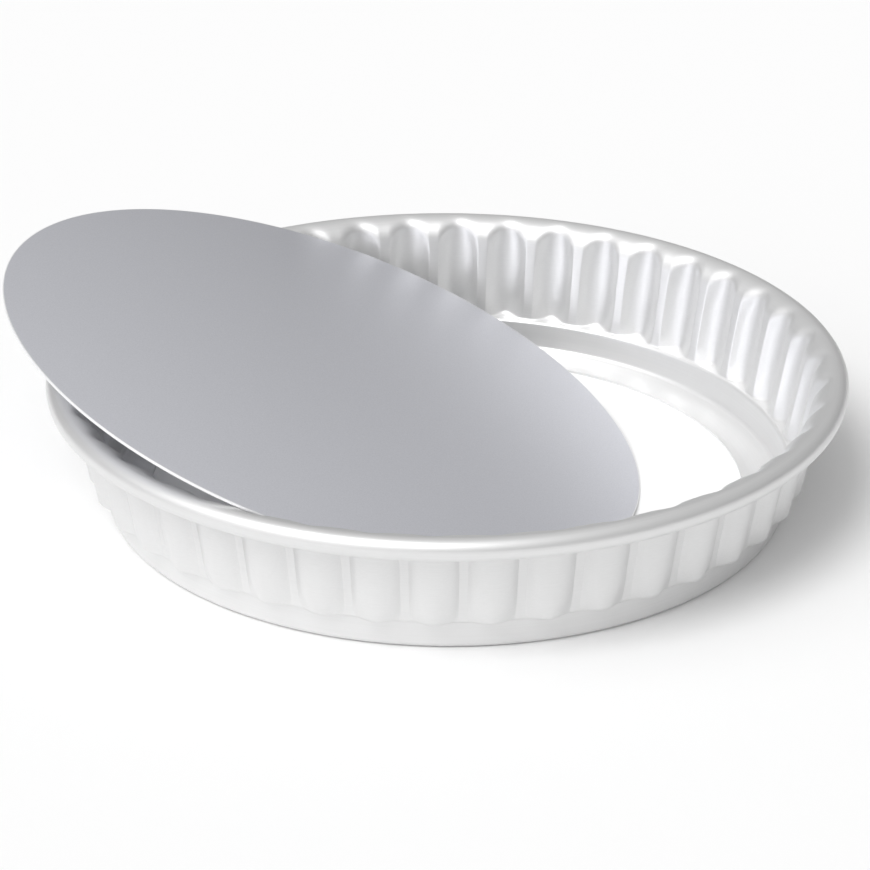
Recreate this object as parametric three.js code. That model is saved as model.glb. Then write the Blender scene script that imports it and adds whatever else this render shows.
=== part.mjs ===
// Loose-bottom cake pan: a fluted ring of pressed aluminium sheet with a rolled rim,
// and the flat disc that lies on the ring's ledge, here leaning on the rim.
// Millimetres, +Z up. The origin is at the middle of the object's footprint, on the table.

import * as THREE from 'three';

// Ring
const PAN_DEPTH = 48.6;         // table to the top of the rim
const BASE_DIAMETER = 240.6;    // over the plain lower wall, where it meets the table
const SHEET = 0.9;              // thickness of the ring's sheet
const LEDGE_WIDTH = 15;         // ring's flat ledge, from the lower wall's outside to the hole
const BOTTOM_BEND = 2.9;        // outside radius between the ledge and the lower wall
const LOWER_DRAFT = 6.5;        // degrees that the lower wall leans out
const STEP_HEIGHT = 11.1;       // table to the step between the lower wall and the flutes
const STEP_WIDTH = 1.5;         // how far the ridges stand out from the lower wall
const STEP_SLOPE = 4;           // degrees that the step rises on its way out
const STEP_BEND = 0.9;          // mid-sheet radius between the lower wall and the step
const RIDGE_FOOT_BEND = 1.4;    // mid-sheet radius at the foot of a ridge
const FLUTE_FOOT_BEND = 2.5;    // mid-sheet radius at the foot of a flute
const WALL_DRAFT = 10;          // degrees that the fluted wall leans out

// Flutes
const FLUTES = 42;
const FLUTE_DEPTH = 3.3;        // from a ridge out to the back of a flute
const RIDGE_WIDTH = 4.4;        // flat strip between two flutes
const FLUTE_PHASE = 6.53;       // degrees from +X to the first ridge

// Rolled rim
const RIM_TURN = 4.44;          // mid-sheet radius on which the flutes turn out into the rim
const ROLL_RADIUS = 3.9;        // outside radius of the roll
const ROLL_SWEEP = 210;         // degrees from the top of the rim to the end of the sheet

// Loose bottom
const DISC_THICKNESS = 1;
const DISC_CLEARANCE = 1.5;     // between the disc and the lower wall when it lies on the ledge
const DISC_EDGE_BREAK = 0.2;    // chamfer that takes the burr off the cut edge
const LEAN_REACH = 68.25;       // ring's axis to the disc's low edge on the table
const LEAN_TURN = -2;           // degrees from +X to the disc's low edge
const REST_GAP = 0.3;           // between the leaning disc and the rim

// Facets
const BEND_STEPS = 2;
const RIM_TURN_STEPS = 3;
const ROLL_STEPS = 7;
const FLUTE_ARC_STEPS = 6;
const DISC_SEGMENTS = 128;
const LEAN_STEPS = 1024;        // places tried along the disc's edge for its lean on the rim

const radians = THREE.MathUtils.degToRad;
const halfSheet = SHEET / 2;

// Walks along straight stretches whose corners are rounded, and gives each row's place in the
// section, as x outwards and y up, with the direction in which the sheet runs there.
function roundedRows(start, corners, end) {
  const rows = [];
  let from = start;
  corners.forEach(({ at, radius, steps }, i) => {
    const to = i + 1 < corners.length ? corners[i + 1].at : end;
    const arriving = at.clone().sub(from).normalize();
    const leaving = to.clone().sub(at).normalize();
    const turn = Math.atan2(arriving.cross(leaving), arriving.dot(leaving));
    const side = Math.sign(turn);
    const cut = radius * Math.tan(Math.abs(turn) / 2);
    const arcStart = at.clone().addScaledVector(arriving, -cut);
    const toCentre = new THREE.Vector2(-arriving.y, arriving.x).multiplyScalar(side * radius);
    const centre = arcStart.clone().add(toCentre);
    for (let step = 0; step <= steps; step += 1) {
      const angle = turn * step / steps;
      const along = arriving.clone().rotateAround(new THREE.Vector2(), angle);
      rows.push({ at: arcStart.clone().rotateAround(centre, angle), along });
    }
    from = at;
  });
  return rows;
}

// Section of the ring at mid-sheet
const upDraft = (degrees) => new THREE.Vector2(Math.tan(radians(degrees)), 1);
const lowerLean = upDraft(LOWER_DRAFT);
const wallLean = upDraft(WALL_DRAFT);
const stepRun = new THREE.Vector2(1, Math.tan(radians(STEP_SLOPE)));

const holeEdge = new THREE.Vector2(BASE_DIAMETER / 2 - LEDGE_WIDTH, halfSheet);
const baseCorner = new THREE.Vector2(BASE_DIAMETER / 2 - halfSheet, halfSheet);
const stepCorner = baseCorner.clone().addScaledVector(lowerLean, STEP_HEIGHT - halfSheet);
const ridgeFoot = stepCorner.clone().addScaledVector(stepRun, STEP_WIDTH);
const fluteOffset = FLUTE_DEPTH / (1 - wallLean.x * stepRun.y);
const fluteFoot = ridgeFoot.clone().addScaledVector(stepRun, fluteOffset);

// Where a wall that rises from this foot would meet the level of the rim's top.
const rimLevel = PAN_DEPTH - halfSheet;
const rimCorner = (foot) => foot.clone().addScaledVector(wallLean, rimLevel - foot.y);
const rimTurnCut = Math.tan(radians(90 - WALL_DRAFT) / 2);
const ridgeRimCorner = rimCorner(ridgeFoot);
const fluteRimCorner = rimCorner(fluteFoot);
const rollRadius = ROLL_RADIUS - halfSheet;
const rollCentre = new THREE.Vector2(fluteRimCorner.x + RIM_TURN * rimTurnCut, rimLevel - rollRadius);
const rimTop = new THREE.Vector2(rollCentre.x, rimLevel);
const ridgeRimTurn = (rollCentre.x - ridgeRimCorner.x) / rimTurnCut;

// Rows from the hole up to the top of the rim, on a ridge or on the back of a flute.
function wallRows(foot, footBend, rimAt, rimTurn) {
  const corners = [
    { at: baseCorner, radius: BOTTOM_BEND - halfSheet, steps: BEND_STEPS },
    { at: stepCorner, radius: STEP_BEND, steps: BEND_STEPS },
    { at: foot, radius: footBend, steps: BEND_STEPS },
    { at: rimAt, radius: rimTurn, steps: RIM_TURN_STEPS },
  ];
  const holeRow = { at: holeEdge, along: new THREE.Vector2(1, 0) };
  return [holeRow, ...roundedRows(holeEdge, corners, rimTop)];
}

// Rows of the roll, outwards and down from the top of the rim.
function rollRows() {
  const rows = [];
  for (let step = 1; step <= ROLL_STEPS; step += 1) {
    const angle = radians(-ROLL_SWEEP * step / ROLL_STEPS);
    const at = rimTop.clone().rotateAround(rollCentre, angle);
    const along = new THREE.Vector2(1, 0).rotateAround(new THREE.Vector2(), angle);
    rows.push({ at, along });
  }
  return rows;
}

const roll = rollRows();
const ridgeRows = [...wallRows(ridgeFoot, RIDGE_FOOT_BEND, ridgeRimCorner, ridgeRimTurn), ...roll];
const fluteRows = [...wallRows(fluteFoot, FLUTE_FOOT_BEND, fluteRimCorner, RIM_TURN), ...roll];

// Rows that the flutes shape: from the foot bend's start to the last row below the rim's top.
const footRow = 1 + 2 * (BEND_STEPS + 1);
const rimTopRow = footRow + BEND_STEPS + 1 + RIM_TURN_STEPS;
const isFluted = (row) => row >= footRow && row < rimTopRow;

// Flute across the wall: a flat ridge, then an arc whose rise is the flute's depth.
const pitch = 2 * Math.PI / FLUTES;
const middleRadius = (ridgeFoot.x + ridgeRimCorner.x) / 2;
const ridgeAngle = RIDGE_WIDTH / middleRadius;
const halfChord = (pitch - ridgeAngle) * middleRadius / 2;
const arcRadius = (halfChord ** 2 + FLUTE_DEPTH ** 2) / (2 * FLUTE_DEPTH);
const arcHalfTurn = Math.asin(halfChord / arcRadius);

// Columns of one flute, from its ridge: share is 0 on the ridge and 1 on the flute's back, and
// slope is its change for each radian round the ring. An arc's ends take half of its slope.
function fluteColumns() {
  const columns = [];
  for (let step = 0; step <= FLUTE_ARC_STEPS; step += 1) {
    const turn = arcHalfTurn * (2 * step / FLUTE_ARC_STEPS - 1);
    const isEnd = step === 0 || step === FLUTE_ARC_STEPS;
    const across = arcRadius * Math.sin(turn);
    const rise = arcRadius * (Math.cos(turn) - Math.cos(arcHalfTurn));
    const slope = -Math.tan(turn) * middleRadius / FLUTE_DEPTH;
    columns.push({
      angle: pitch / 2 + across / middleRadius,
      share: rise / FLUTE_DEPTH,
      slope: isEnd ? slope / 2 : slope,
    });
  }
  return columns;
}

const plainColumns = [
  { angle: 0, share: 0, slope: 0 },
  { angle: pitch / 2, share: 1, slope: 0 },
];

// The same columns at every flute, all the way round.
function aroundRing(columns) {
  const all = [];
  for (let flute = 0; flute < FLUTES; flute += 1) {
    const start = radians(FLUTE_PHASE) + flute * pitch;
    columns.forEach((column) => all.push({ ...column, angle: start + column.angle }));
  }
  return all;
}

const flutedRing = aroundRing(fluteColumns());
const plainRing = aroundRing(plainColumns);

// Point on the sheet's middle surface and the direction square to the sheet, out of the pan.
function sheetPoint(row, { angle, share, slope }) {
  const ridge = ridgeRows[row];
  const flute = fluteRows[row];
  const place = ridge.at.clone().lerp(flute.at, share);
  const along = ridge.along.clone().lerp(flute.along, share);
  const change = flute.at.clone().sub(ridge.at).multiplyScalar(slope);
  const up = new THREE.Vector3(along.x, 0, along.y);
  const round = new THREE.Vector3(change.x, place.x, change.y);
  const axis = new THREE.Vector3(0, 0, 1);
  const normal = round.cross(up).normalize().applyAxisAngle(axis, angle);
  const point = new THREE.Vector3(place.x, 0, place.y).applyAxisAngle(axis, angle);
  return { point, normal };
}

// Triangles between two rows that may have different numbers of columns. Each step moves on
// along the row whose next column comes first.
function bandTriangles(lower, upper) {
  const triangles = [];
  const turned = (ring, i) => ring.columns[i % ring.columns.length].angle
    + 2 * Math.PI * Math.floor(i / ring.columns.length);
  const vertex = (ring, i) => ring.first + i % ring.columns.length;
  let low = 0;
  let high = 0;
  while (low < lower.columns.length || high < upper.columns.length) {
    const highDone = high === upper.columns.length;
    const lowFirst = turned(lower, low + 1) <= turned(upper, high + 1);
    const a = vertex(lower, low);
    const b = vertex(upper, high);
    if (low < lower.columns.length && (highDone || lowFirst)) {
      low += 1;
      triangles.push([a, vertex(lower, low), b]);
    } else {
      high += 1;
      triangles.push([a, vertex(upper, high), b]);
    }
  }
  return triangles;
}

// The ring's sheet: its middle surface moved half a thickness to each side, closed at the hole's
// edge and at the end of the roll.
function ringGeometry() {
  const outside = [];
  const inside = [];
  const rings = ridgeRows.map((_, row) => {
    const columns = isFluted(row) ? flutedRing : plainRing;
    const first = outside.length;
    columns.forEach((column) => {
      const { point, normal } = sheetPoint(row, column);
      outside.push(point.clone().addScaledVector(normal, halfSheet));
      inside.push(point.clone().addScaledVector(normal, -halfSheet));
    });
    return { columns, first };
  });

  const triangles = [];
  const count = outside.length;
  for (let row = 1; row < rings.length; row += 1) {
    bandTriangles(rings[row - 1], rings[row]).forEach(([a, b, c]) => {
      triangles.push([a, b, c], [a + count, c + count, b + count]);
    });
  }
  const edgeOf = (ring) => ({ inner: { ...ring, first: ring.first + count }, outer: ring });
  const hole = edgeOf(rings[0]);
  const rollEnd = edgeOf(rings[rings.length - 1]);
  triangles.push(...bandTriangles(hole.inner, hole.outer));
  triangles.push(...bandTriangles(rollEnd.outer, rollEnd.inner));

  const geometry = new THREE.BufferGeometry().setFromPoints([...outside, ...inside]);
  geometry.setIndex(triangles.flat());
  geometry.computeVertexNormals();
  return geometry;
}

// Loose bottom: a flat disc, turned about the axis with its top face at the origin.
const lowerWallInside = baseCorner.x - halfSheet;
const discRadius = lowerWallInside - DISC_CLEARANCE;
const discSection = [
  new THREE.Vector2(0, -DISC_THICKNESS),
  new THREE.Vector2(discRadius - DISC_EDGE_BREAK, -DISC_THICKNESS),
  new THREE.Vector2(discRadius, DISC_EDGE_BREAK - DISC_THICKNESS),
  new THREE.Vector2(discRadius, -DISC_EDGE_BREAK),
  new THREE.Vector2(discRadius - DISC_EDGE_BREAK, 0),
  new THREE.Vector2(0, 0),
];
const underEdge = discSection.slice(1, 3);

// The disc's middle for a given tilt: its low edge stands on the table, LEAN_REACH from the axis.
function leaningCentre(tilt) {
  const [bottomEdge] = underEdge;
  const run = bottomEdge.x * Math.cos(tilt) + bottomEdge.y * Math.sin(tilt);
  const rise = bottomEdge.x * Math.sin(tilt) - bottomEdge.y * Math.cos(tilt);
  return new THREE.Vector2(LEAN_REACH - run, rise);
}

// Share of the flutes' depth at an angle round the ring.
function shareAt(angle) {
  const fromRidge = THREE.MathUtils.euclideanModulo(angle - radians(FLUTE_PHASE), pitch);
  const across = Math.min(Math.abs(fromRidge - pitch / 2) * middleRadius, halfChord);
  return (Math.sqrt(arcRadius ** 2 - across ** 2) - arcRadius * Math.cos(arcHalfTurn)) / FLUTE_DEPTH;
}

// Distance from a place in the ring's section to the wall's top and the roll, below 0 inside.
function rimDistance(place, share) {
  if (place.x > rollCentre.x) {
    return place.distanceTo(rollCentre) - ROLL_RADIUS;
  }
  const radius = THREE.MathUtils.lerp(ridgeRimTurn, RIM_TURN, share) + halfSheet;
  const wallSide = place.clone().sub(new THREE.Vector2(rollCentre.x, PAN_DEPTH - radius));
  if (wallSide.dot(wallLean) > 0) {
    return wallSide.length() - radius;
  }
  return -wallSide.cross(wallLean.clone().normalize()) - radius;
}

// Least distance between the leaning disc's under edge and the rim.
function leaningGap(tilt) {
  const centre = leaningCentre(tilt);
  let least = Infinity;
  underEdge.forEach((edge) => {
    for (let step = 0; step < LEAN_STEPS; step += 1) {
      const angle = 2 * Math.PI * step / LEAN_STEPS;
      const downhill = edge.x * Math.cos(angle);
      const x = centre.x + downhill * Math.cos(tilt) + edge.y * Math.sin(tilt);
      const y = edge.x * Math.sin(angle);
      const z = centre.y - downhill * Math.sin(tilt) + edge.y * Math.cos(tilt);
      const share = shareAt(Math.atan2(y, x) + radians(LEAN_TURN));
      least = Math.min(least, rimDistance(new THREE.Vector2(Math.hypot(x, y), z), share));
    }
  });
  return least;
}

// The tilt at which the disc leans on the rim with only the rest gap between them.
function leaningTilt() {
  let low = 0;
  let high = Math.PI / 2;
  for (let halving = 0; halving < 40; halving += 1) {
    const tilt = (low + high) / 2;
    if (leaningGap(tilt) < REST_GAP) {
      low = tilt;
    } else {
      high = tilt;
    }
  }
  return high;
}

function ringMesh() {
  const material = new THREE.MeshStandardMaterial({ color: 0xdcdee0, roughness: 0.35, metalness: 0.9 });
  const mesh = new THREE.Mesh(ringGeometry(), material);
  mesh.name = 'fluted_ring';
  return mesh;
}

function discMesh() {
  const geometry = new THREE.LatheGeometry(discSection, DISC_SEGMENTS).rotateX(Math.PI / 2);
  const material = new THREE.MeshStandardMaterial({ color: 0xb5b7bc, roughness: 0.5, metalness: 0.9 });
  const mesh = new THREE.Mesh(geometry, material);
  mesh.name = 'loose_bottom';
  const tilt = leaningTilt();
  const centre = leaningCentre(tilt);
  mesh.rotation.y = tilt;
  mesh.position.set(centre.x, 0, centre.y);
  return mesh;
}

const leaningDisc = new THREE.Group();
leaningDisc.rotation.z = radians(LEAN_TURN);
leaningDisc.add(discMesh());

// The leaning disc reaches out past the rim, so the ring's axis stands beside the footprint's middle.
const cakePan = new THREE.Group();
cakePan.add(ringMesh(), leaningDisc);
const reach = new THREE.Box3().setFromObject(cakePan, true);
cakePan.position.x = -(reach.min.x + reach.max.x) / 2;

export default cakePan;
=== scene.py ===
# Loose-bottom cake pan in satin aluminium: a fluted ring with a rolled rim, and the flat bottom that
# lies loose on the ring's ledge, here leaning on the rim. Metres, +Z up, in the frame of the CAD model.

import math

import bpy
from mathutils import Euler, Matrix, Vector


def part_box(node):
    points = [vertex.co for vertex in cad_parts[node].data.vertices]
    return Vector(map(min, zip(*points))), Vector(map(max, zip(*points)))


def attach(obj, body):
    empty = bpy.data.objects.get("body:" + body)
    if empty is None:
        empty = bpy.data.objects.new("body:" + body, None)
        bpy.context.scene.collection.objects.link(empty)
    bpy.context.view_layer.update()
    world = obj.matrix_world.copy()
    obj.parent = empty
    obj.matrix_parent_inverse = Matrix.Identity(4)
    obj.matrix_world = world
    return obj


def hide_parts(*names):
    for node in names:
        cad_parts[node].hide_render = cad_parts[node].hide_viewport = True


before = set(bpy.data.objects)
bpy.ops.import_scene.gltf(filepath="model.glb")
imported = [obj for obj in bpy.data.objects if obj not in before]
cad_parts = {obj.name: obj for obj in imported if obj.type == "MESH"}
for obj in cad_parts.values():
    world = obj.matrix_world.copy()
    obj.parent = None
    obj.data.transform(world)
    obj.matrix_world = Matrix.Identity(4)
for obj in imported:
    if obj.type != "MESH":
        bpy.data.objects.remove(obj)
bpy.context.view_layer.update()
bpy.context.scene.view_settings.view_transform = "Standard"

# Fluted ring
# One piece of aluminium sheet, spun and pressed: a rim rolled outwards, a wall of round flutes that leans
# out, a step, a plain lower wall, and a ledge turned in round the hole, which carries the loose bottom.

mm = 0.001
sheet = 0.9 * mm
ledge_width = 15 * mm            # from the hole to the outside of the lower wall
base_bend = 2.45 * mm            # bends are measured at the middle of the sheet
lower_lean = math.radians(6.5)
step_height = 11.1 * mm          # table to the step between the lower wall and the flutes
step_width = 1.5 * mm
step_rise = math.radians(4)
step_bend = 0.9 * mm
wall_lean = math.radians(10)
ridge_foot_bend = 1.4 * mm
flute_foot_bend = 2.5 * mm
roll_radius = 3.9 * mm           # to the outside of the rolled rim
roll_sweep = math.radians(210)
flutes = 42
flute_depth = 3.3 * mm
flute_phase = math.radians(6.53)  # from +X to the middle of the first ridge
crown_rounding = 3               # how much a flute narrows to its round upper end
crown_part = 1 / 2               # share of the flute's height over which it does so
foot_rounding = 2                # the same at the foot
foot_part = 1 / 8
ridge_flat = 2.6 * mm            # flat strip along the middle of a ridge
ridge_edge_bend = 0.8 * mm       # round edge between that strip and a flute
cut_edge_break = 0.12 * mm       # the sheet's cut edges are rubbed smooth
cut_edge_steps = 2
cut_edge_angle = math.radians(60)  # what turns more sharply than this is a cut edge
smooth_angle = math.radians(40)  # what turns less than this is shaded smooth
rim_turn_share = 0.99            # of the way from the wall to the roll, so that the two stay apart
same_place = 0.01 * mm           # points closer than this are one point

ring_low, ring_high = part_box("fluted_ring")
ring_axis = Vector(((ring_low.x + ring_high.x) / 2, (ring_low.y + ring_high.y) / 2, 0))
ring_reach = [(vertex.co - ring_axis).xy.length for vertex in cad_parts["fluted_ring"].data.vertices]
hole_radius = min(ring_reach)
rim_radius = max(ring_reach)
rim_level = ring_high.z - sheet / 2

# Section at the middle of the sheet, as distance from the axis and height.


def leaning(angle):
    return Vector((math.tan(angle), 1))


hole_edge = Vector((hole_radius, sheet / 2))
base_corner = Vector((hole_radius + ledge_width - sheet / 2, sheet / 2))
step_corner = base_corner + leaning(lower_lean) * (step_height - sheet / 2)
step_run = Vector((1, math.tan(step_rise)))
ridge_foot = step_corner + step_run * step_width
flute_foot = ridge_foot + step_run * flute_depth / (1 - math.tan(wall_lean) * step_run.y)
roll_centre = Vector((rim_radius - roll_radius, ring_high.z - roll_radius))
rim_top = Vector((roll_centre.x, rim_level))


def rim_corner(foot):
    """Where the wall that rises from this foot would meet the level of the rim."""
    return foot + leaning(wall_lean) * (rim_level - foot.y)


def rim_turn(foot):
    """Bend from that wall out into the rim: gentle above a ridge's foot, sharp above a flute's."""
    return rim_turn_share * (rim_top.x - rim_corner(foot).x) / math.tan((math.pi / 2 - wall_lean) / 2)


def in_section(point):
    """Place of a point of the section, in the plane through the axis along +X."""
    return ring_axis + Vector((point.x, 0, point.y))


def select_vertices(piece, is_chosen):
    """Selects the vertices of the piece in edit mode whose place passes the test."""
    bpy.ops.mesh.select_all(action="DESELECT")
    bpy.ops.object.mode_set(mode="OBJECT")
    for vertex in piece.data.vertices:
        vertex.select = is_chosen(vertex.co)
    bpy.ops.object.mode_set(mode="EDIT")


def spin(steps, angle, centre, axis, copies=False):
    """Spins what is selected. The operator turns clockwise, so it gets the angle with its sign changed."""
    bpy.ops.mesh.spin(steps=steps, angle=-angle, center=centre, axis=axis, dupli=copies)


# Across a flute: a flat strip, a round edge and the flute's own arc, which meet without a corner.
pitch = 2 * math.pi / flutes
wall_radius = (ridge_foot.x + rim_corner(ridge_foot).x) / 2
half_pitch = pitch * wall_radius / 2
half_flute = half_pitch - ridge_flat / 2
two_bends = (half_flute ** 2 + flute_depth ** 2) / (2 * flute_depth)
flute_bend = two_bends - ridge_edge_bend
flute_turn = math.asin(half_flute / two_bends)
ridge_edge_steps = 3
flute_arc_steps = 6

# Along the section: the steps in each bend, and the rows that cut up the straight wall.
base_bend_steps = 5
step_bend_steps = 4
foot_bend_steps = 5
rim_turn_steps = 11
roll_steps = 14
wall_rows = 9


def across_half_flute():
    """Columns from a ridge's middle to a flute's middle: how far across, and the share of the depth."""
    columns = [(0, 0)]
    for step in range(ridge_edge_steps + 1):
        turn = flute_turn * step / ridge_edge_steps
        across = ridge_flat / 2 + ridge_edge_bend * math.sin(turn)
        columns.append((across, ridge_edge_bend * (1 - math.cos(turn)) / flute_depth))
    for step in range(1, flute_arc_steps + 1):
        turn = flute_turn * (1 - step / flute_arc_steps)
        across = half_pitch - flute_bend * math.sin(turn)
        columns.append((across, 1 - flute_bend * (1 - math.cos(turn)) / flute_depth))
    return columns


half_columns = [(across / wall_radius, share) for across, share in across_half_flute()]
flute_columns = half_columns + [(pitch - angle, share) for angle, share in reversed(half_columns[:-1])]


def ring_sector(name, foot, foot_bend):
    """One flute's width of a plain ring: its section, extruded and rounded, spun round the axis."""
    bends = [
        (base_corner, base_bend, base_bend_steps),
        (step_corner, step_bend, step_bend_steps),
        (foot, foot_bend, foot_bend_steps),
        (rim_corner(foot), rim_turn(foot), rim_turn_steps),
    ]
    line = [hole_edge] + [corner for corner, _, _ in bends] + [rim_top]
    bpy.ops.object.select_all(action="DESELECT")
    bpy.ops.mesh.primitive_plane_add(size=sheet)
    sector = bpy.context.object
    sector.name = name
    bpy.ops.object.mode_set(mode="EDIT")
    bpy.ops.mesh.select_mode(type="VERT")
    bpy.ops.mesh.merge(type="CENTER")
    bpy.ops.transform.translate(value=in_section(hole_edge))
    for here, following in zip(line, line[1:]):
        step = in_section(following) - in_section(here)
        bpy.ops.mesh.extrude_region_move(TRANSFORM_OT_translate={"value": step})
    for before, (corner, bend, steps), after in zip(line, bends, line[2:]):
        turn = (corner - before).angle(after - corner)
        select_vertices(sector, lambda place: (place - in_section(corner)).length < same_place)
        bpy.ops.mesh.bevel(offset=bend * math.tan(turn / 2), segments=steps, affect="VERTICES")
    sector.update_from_editmode()
    stretches = [[sector.data.vertices[i].co.copy() for i in edge.vertices] for edge in sector.data.edges]
    wall = max(stretches, key=lambda ends: (ends[0] - ends[1]).length)
    select_vertices(sector, lambda place: min((place - end).length for end in wall) < same_place)
    bpy.ops.mesh.subdivide(number_cuts=wall_rows)
    select_vertices(sector, lambda place: (place - in_section(rim_top)).length < same_place)
    spin(roll_steps, roll_sweep, in_section(roll_centre), (0, 1, 0))
    bpy.ops.mesh.select_all(action="SELECT")
    for (here, _), (following, _) in zip(flute_columns, flute_columns[1:]):
        spin(1, following - here, ring_axis, (0, 0, 1))
    bpy.ops.object.mode_set(mode="OBJECT")
    return sector


# The die presses the plain sector out: from the ridges' section to the flutes' section, by each column's
# share of the depth. A flute narrows towards its crown and its foot.
ring = ring_sector("fluted_ring_sheet", ridge_foot, ridge_foot_bend)
die = ring_sector("flute_die", flute_foot, flute_foot_bend)
bpy.context.view_layer.objects.active = ring
ring.select_set(True)
bpy.ops.object.join_shapes()
pressed = ring.vertex_groups.new(name="pressed")
for vertex in ring.data.vertices:
    from_axis = vertex.co - ring_axis
    turned = math.atan2(from_axis.y, from_axis.x)
    nearest = min(flute_columns, key=lambda column: abs(column[0] - turned))
    height = max(0, (vertex.co.z - ridge_foot.y) / (rim_level - ridge_foot.y))
    near_crown = max(0, (height - 1 + crown_part) / crown_part)
    near_foot = max(0, 1 - height / foot_part)
    narrowing = crown_rounding * near_crown ** 3 + foot_rounding * near_foot
    pressed.add([vertex.index], nearest[1] ** (1 + narrowing), "REPLACE")
ring.active_shape_key_index = 1
ring.active_shape_key.vertex_group = pressed.name
ring.active_shape_key.value = 1
bpy.ops.object.shape_key_remove(all=True, apply_mix=True)
ring.vertex_groups.remove(pressed)
bpy.data.objects.remove(die)

# A copy of the pressed sector, turned to the first ridge, takes the sector's place and is copied all the way
# round. The sheet then gets its thickness and its rubbed edges.
bpy.ops.object.mode_set(mode="EDIT")
bpy.ops.mesh.select_all(action="SELECT")
spin(1, flute_phase, ring_axis, (0, 0, 1), copies=True)
bpy.ops.mesh.select_all(action="INVERT")
bpy.ops.mesh.delete(type="VERT")
bpy.ops.mesh.select_all(action="SELECT")
spin(flutes - 1, pitch * (flutes - 1), ring_axis, (0, 0, 1), copies=True)
bpy.ops.mesh.select_all(action="SELECT")
bpy.ops.mesh.remove_doubles(threshold=same_place)
bpy.ops.mesh.normals_make_consistent(inside=False)
bpy.ops.object.mode_set(mode="OBJECT")
thickness = ring.modifiers.new("sheet", "SOLIDIFY")
thickness.thickness = sheet
thickness.offset = 0
thickness.use_even_offset = True
thickness.use_quality_normals = True
bpy.ops.object.modifier_apply(modifier=thickness.name)
rubbed = ring.modifiers.new("rubbed_edges", "BEVEL")
rubbed.width = cut_edge_break
rubbed.segments = cut_edge_steps
rubbed.angle_limit = cut_edge_angle
bpy.ops.object.modifier_apply(modifier=rubbed.name)
bpy.ops.object.shade_smooth_by_angle(angle=smooth_angle)

# Satin anodised aluminium, spun on a lathe: a bright metal under a clear skin that is etched matt, so that a
# good third of the light is scattered and the rest is a soft mirror. Very fine turned lines run round the
# ring. Real ones are under 0.1 mm apart; they are drawn coarser, to show.


def linear(hex_colour):
    """Linear colour of an sRGB hex value."""
    parts = [int(hex_colour[i:i + 2], 16) / 255 for i in (1, 3, 5)]
    return tuple(p / 12.92 if p <= 0.04045 else ((p + 0.055) / 1.055) ** 2.4 for p in parts) + (1,)


def add_node(material, kind, settings, links):
    """Adds a node, sets its properties and its sockets' values, and links outputs to its sockets."""
    node = material.node_tree.nodes.new(kind)
    for name, value in settings.items():
        if hasattr(node, name):
            setattr(node, name, value)
        else:
            node.inputs[name].default_value = value
    for name, output in links.items():
        material.node_tree.links.new(output, node.inputs[name])
    return node


# Sockets of a Mix node that mixes colours.
mix_share = 0
mix_first = 6
mix_second = 7
mix_result = 2

ring_dark = "#E4E4E4"
ring_pale = "#EAEAEA"
turned_line = 0.45 * mm
line_length = 60 * mm
line_depth = 0.002 * mm
ring_metallic = 0.62
ring_roughness = 0.42
roughness_swing = 0.03

ring_metal = bpy.data.materials.new("satin_anodised_aluminium")
ring_metal.use_nodes = True
ring_shader = ring_metal.node_tree.nodes["Principled BSDF"]
ring_shader.inputs["Metallic"].default_value = ring_metallic
ring_place = add_node(ring_metal, "ShaderNodeTexCoord", {}, {})
ring_centred = add_node(
    ring_metal, "ShaderNodeMapping", {"Location": -ring_axis}, {"Vector": ring_place.outputs["Object"]})
ring_parts = add_node(ring_metal, "ShaderNodeSeparateXYZ", {}, {"Vector": ring_centred.outputs["Vector"]})
ring_flat = add_node(
    ring_metal, "ShaderNodeVectorMath", {"operation": "MULTIPLY"}, {0: ring_centred.outputs["Vector"]})
ring_flat.inputs[1].default_value = (1, 1, 0)
ring_distance = add_node(
    ring_metal, "ShaderNodeVectorMath", {"operation": "LENGTH"}, {0: ring_flat.outputs["Vector"]})
along_x = add_node(ring_metal, "ShaderNodeMath", {"operation": "MULTIPLY"}, {0: ring_parts.outputs["X"]})
along_x.inputs[1].default_value = turned_line / line_length
along_y = add_node(ring_metal, "ShaderNodeMath", {"operation": "MULTIPLY"}, {0: ring_parts.outputs["Y"]})
along_y.inputs[1].default_value = turned_line / line_length
line_place = add_node(
    ring_metal, "ShaderNodeCombineXYZ", {},
    {"X": ring_distance.outputs["Value"], "Y": ring_parts.outputs["Z"], "Z": along_x.outputs["Value"]})
turned_lines = add_node(
    ring_metal, "ShaderNodeTexNoise", {"noise_dimensions": "4D", "Scale": 1 / turned_line, "Detail": 1},
    {"Vector": line_place.outputs["Vector"], "W": along_y.outputs["Value"]})
ring_colour = add_node(
    ring_metal, "ShaderNodeMix", {"data_type": "RGBA"}, {mix_share: turned_lines.outputs["Fac"]})
ring_colour.inputs[mix_first].default_value = linear(ring_dark)
ring_colour.inputs[mix_second].default_value = linear(ring_pale)
ring_gloss = add_node(
    ring_metal, "ShaderNodeMapRange",
    {"To Min": ring_roughness - roughness_swing, "To Max": ring_roughness + roughness_swing},
    {"Value": turned_lines.outputs["Fac"]})
ring_relief = add_node(
    ring_metal, "ShaderNodeBump", {"Strength": 1, "Distance": line_depth},
    {"Height": turned_lines.outputs["Fac"]})
ring_metal.node_tree.links.new(ring_colour.outputs[mix_result], ring_shader.inputs["Base Color"])
ring_metal.node_tree.links.new(ring_gloss.outputs["Result"], ring_shader.inputs["Roughness"])
ring_metal.node_tree.links.new(ring_relief.outputs["Normal"], ring_shader.inputs["Normal"])
ring.data.materials.append(ring_metal)
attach(ring, "ring")
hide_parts("fluted_ring")

# Loose bottom
# A flat disc cut from rolled aluminium sheet, with its sharp edge broken. Nothing fixes it: it lies on the
# ring's ledge in use, and here it leans on the rim with its low edge on the table.

disc_edge_break = 0.2 * mm
disc_edge_steps = 2
disc_columns = 256
disc_smooth_angle = math.radians(30)

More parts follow.
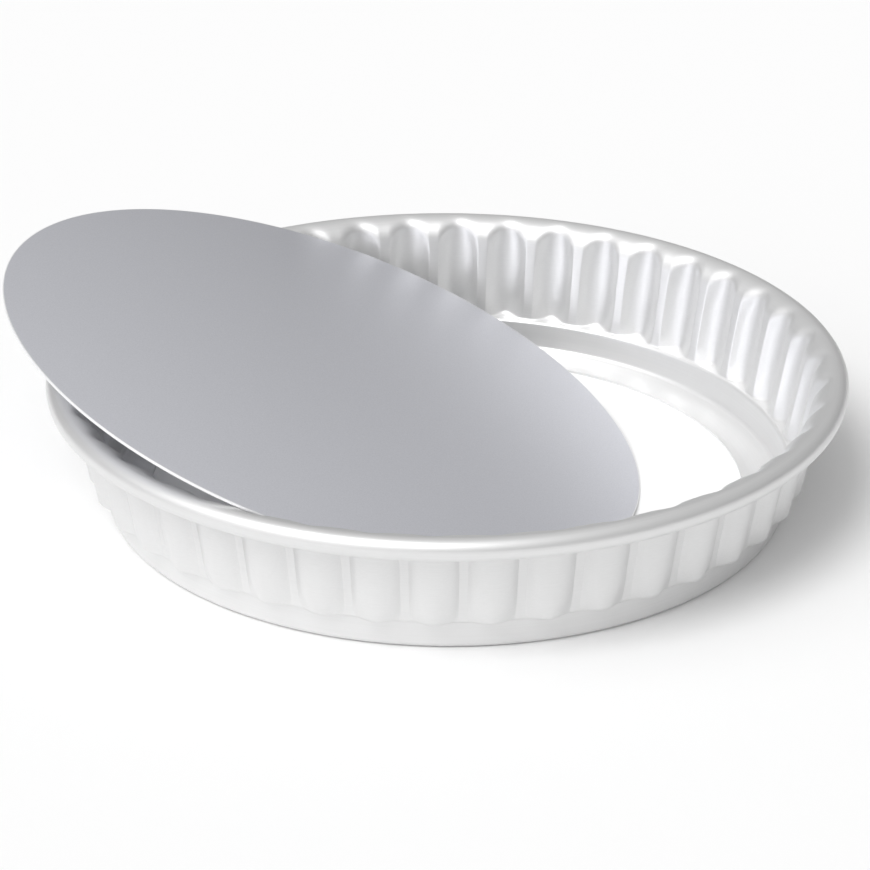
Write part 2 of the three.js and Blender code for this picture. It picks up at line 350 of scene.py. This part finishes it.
disc_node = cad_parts["loose_bottom"]
disc_normal = max(disc_node.data.polygons, key=lambda face: face.area).normal.copy()
disc_normal *= math.copysign(1, disc_normal.z)
disc_heights = [vertex.co.dot(disc_normal) for vertex in disc_node.data.vertices]
disc_sheet = max(disc_heights) - min(disc_heights)
disc_low, disc_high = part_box("loose_bottom")
disc_centre = (disc_low + disc_high) / 2
disc_radius = max((vertex.co - disc_centre).length for vertex in disc_node.data.vertices)

bpy.ops.object.select_all(action="DESELECT")
bpy.ops.mesh.primitive_circle_add(
    vertices=disc_columns, radius=disc_radius, fill_type="NGON",
    location=disc_centre - disc_normal * disc_sheet / 2,
    rotation=disc_normal.to_track_quat("Z", "Y").to_euler())
disc = bpy.context.object
disc.name = "loose_bottom_disc"
bpy.ops.object.transform_apply(location=True, rotation=True, scale=True)
bpy.ops.object.mode_set(mode="EDIT")
bpy.ops.mesh.extrude_region_move(TRANSFORM_OT_translate={"value": disc_normal * disc_sheet})
bpy.ops.mesh.select_all(action="SELECT")
bpy.ops.mesh.normals_make_consistent(inside=False)
bpy.ops.object.mode_set(mode="OBJECT")
broken_edge = disc.modifiers.new("broken_edge", "BEVEL")
broken_edge.width = disc_edge_break
broken_edge.segments = disc_edge_steps
broken_edge.angle_limit = cut_edge_angle
bpy.ops.object.modifier_apply(modifier=broken_edge.name)
bpy.ops.object.shade_smooth_by_angle(angle=disc_smooth_angle)

# Matt anodised rolled sheet: a greyer, duller metal than the ring, with a fine even grain. Its edge was cut
# after that and is bare and bright.
disc_dark = "#D6D7DD"
disc_pale = "#E6E7ED"
disc_bare = "#FAFAFB"
grain = 0.5 * mm
grain_depth = 0.003 * mm
bright_edge = 0.3 * mm           # how far in from its rim the disc is bare
disc_metallic = 0.6
disc_roughness = 0.50

disc_metal = bpy.data.materials.new("matt_anodised_aluminium")
disc_metal.use_nodes = True
disc_shader = disc_metal.node_tree.nodes["Principled BSDF"]
disc_shader.inputs["Metallic"].default_value = disc_metallic
disc_shader.inputs["Roughness"].default_value = disc_roughness
disc_place = add_node(disc_metal, "ShaderNodeTexCoord", {}, {})
disc_grain = add_node(
    disc_metal, "ShaderNodeTexNoise", {"Scale": 1 / grain, "Detail": 2},
    {"Vector": disc_place.outputs["Object"]})
disc_colour = add_node(
    disc_metal, "ShaderNodeMix", {"data_type": "RGBA"}, {mix_share: disc_grain.outputs["Fac"]})
disc_colour.inputs[mix_first].default_value = linear(disc_dark)
disc_colour.inputs[mix_second].default_value = linear(disc_pale)
from_middle = add_node(
    disc_metal, "ShaderNodeVectorMath", {"operation": "DISTANCE"}, {0: disc_place.outputs["Object"]})
from_middle.inputs[1].default_value = disc_centre
at_edge = add_node(
    disc_metal, "ShaderNodeMath", {"operation": "GREATER_THAN"}, {0: from_middle.outputs["Value"]})
at_edge.inputs[1].default_value = disc_radius - bright_edge
disc_and_edge = add_node(
    disc_metal, "ShaderNodeMix", {"data_type": "RGBA"},
    {mix_share: at_edge.outputs["Value"], mix_first: disc_colour.outputs[mix_result]})
disc_and_edge.inputs[mix_second].default_value = linear(disc_bare)
disc_relief = add_node(
    disc_metal, "ShaderNodeBump", {"Strength": 1, "Distance": grain_depth},
    {"Height": disc_grain.outputs["Fac"]})
disc_metal.node_tree.links.new(disc_and_edge.outputs[mix_result], disc_shader.inputs["Base Color"])
disc_metal.node_tree.links.new(disc_relief.outputs["Normal"], disc_shader.inputs["Normal"])
disc.data.materials.append(disc_metal)
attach(disc, "bottom")
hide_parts("loose_bottom")

# Table
# A plain white table top that runs out of sight. It keeps the pan's shadow, and to the camera and in the
# metal's reflections it is as white as the photograph's background.

table_colour = "#F6F6F6"
table_size = 40
table_glow = 0.035

bpy.ops.object.select_all(action="DESELECT")
bpy.ops.mesh.primitive_plane_add(size=table_size)
table = bpy.context.object
table.name = "table"
table_white = bpy.data.materials.new("white_table")
table_white.use_nodes = True
table_shader = table_white.node_tree.nodes["Principled BSDF"]
table_shader.inputs["Base Color"].default_value = linear(table_colour)
table_shader.inputs["Roughness"].default_value = 1
table_shader.inputs["Specular IOR Level"].default_value = 0
table_shader.inputs["Emission Color"].default_value = (1, 1, 1, 1)
light_path = add_node(table_white, "ShaderNodeLightPath", {}, {})
mirrored = add_node(
    table_white, "ShaderNodeMath", {"operation": "MAXIMUM"},
    {0: light_path.outputs["Is Glossy Ray"], 1: light_path.outputs["Is Transmission Ray"]})
seen = add_node(
    table_white, "ShaderNodeMath", {"operation": "MAXIMUM"},
    {0: light_path.outputs["Is Camera Ray"], 1: mirrored.outputs["Value"]})
glow = add_node(table_white, "ShaderNodeMath", {"operation": "MULTIPLY"}, {0: seen.outputs["Value"]})
glow.inputs[1].default_value = table_glow
table_white.node_tree.links.new(glow.outputs["Value"], table_shader.inputs["Emission Strength"])
table.data.materials.append(table_white)

# Studio light
# A room with dim walls, a paler ceiling and a large soft window at the front left. Close to the floor it is
# dark all round. A broad lamp high in the window draws the shadow on the table.

wall_level = 0.165
ceiling_level = 0.50
window_level = 0.96              # what the window adds to the room, as a share of white
window_from = Vector((-0.534, -0.534, 0.656))
window_spread = math.radians(30)
window_edge = math.radians(30)   # half of the window's soft border
horizon_level = 0.15             # share of the room's light that is left at the horizon
horizon_height = math.radians(8)
lamp_level = 1.42
lamp_spread = math.radians(30)
lamp_from = Vector((-0.36, -0.45, 0.817))

room = bpy.data.worlds.new("studio_room")
bpy.context.scene.world = room
room.use_nodes = True
room_direction = add_node(room, "ShaderNodeTexCoord", {}, {})
room_parts = add_node(room, "ShaderNodeSeparateXYZ", {}, {"Vector": room_direction.outputs["Generated"]})
towards_window = add_node(
    room, "ShaderNodeVectorMath", {"operation": "DOT_PRODUCT"}, {0: room_direction.outputs["Generated"]})
towards_window.inputs[1].default_value = window_from.normalized()
window = add_node(
    room, "ShaderNodeMapRange",
    {
        "interpolation_type": "SMOOTHSTEP",
        "From Min": math.cos(window_spread + window_edge),
        "From Max": math.cos(window_spread - window_edge),
        "To Max": window_level,
    },
    {"Value": towards_window.outputs["Value"]})
room_surface = add_node(
    room, "ShaderNodeMapRange", {"To Min": wall_level, "To Max": ceiling_level},
    {"Value": room_parts.outputs["Z"]})
room_and_window = add_node(
    room, "ShaderNodeMath", {"operation": "ADD"},
    {0: room_surface.outputs["Result"], 1: window.outputs["Result"]})
horizon = add_node(
    room, "ShaderNodeMapRange",
    {
        "interpolation_type": "SMOOTHSTEP",
        "From Max": math.sin(horizon_height),
        "To Min": horizon_level,
    },
    {"Value": room_parts.outputs["Z"]})
room_light = add_node(
    room, "ShaderNodeMath", {"operation": "MULTIPLY"},
    {0: room_and_window.outputs["Value"], 1: horizon.outputs["Result"]})
room_background = room.node_tree.nodes["Background"]
room_background.inputs["Color"].default_value = (1, 1, 1, 1)
room.node_tree.links.new(room_light.outputs["Value"], room_background.inputs["Strength"])
bpy.ops.object.light_add(type="SUN", rotation=lamp_from.to_track_quat("Z", "Y").to_euler())
lamp = bpy.context.object
lamp.name = "lamp_at_window"
lamp.data.energy = lamp_level
lamp.data.angle = lamp_spread

# Camera
# It stands about a metre from the pan and looks down on it, level but for a slight roll.

camera_eye = Vector((2.36, -992.8, 497.2)) * mm
camera_down = math.radians(25.74)
camera_roll = math.radians(0.16)
camera_sensor = 36               # millimetres, as is the lens
camera_lens = 128.7

bpy.ops.object.camera_add(location=camera_eye)
camera = bpy.context.object
tilt = Euler((math.pi / 2 - camera_down, 0, 0)).to_matrix()
roll = Euler((0, 0, camera_roll)).to_matrix()
camera.rotation_euler = (tilt @ roll).to_euler()
camera.data.sensor_width = camera_sensor
camera.data.lens = camera_lens
bpy.context.scene.camera = camera
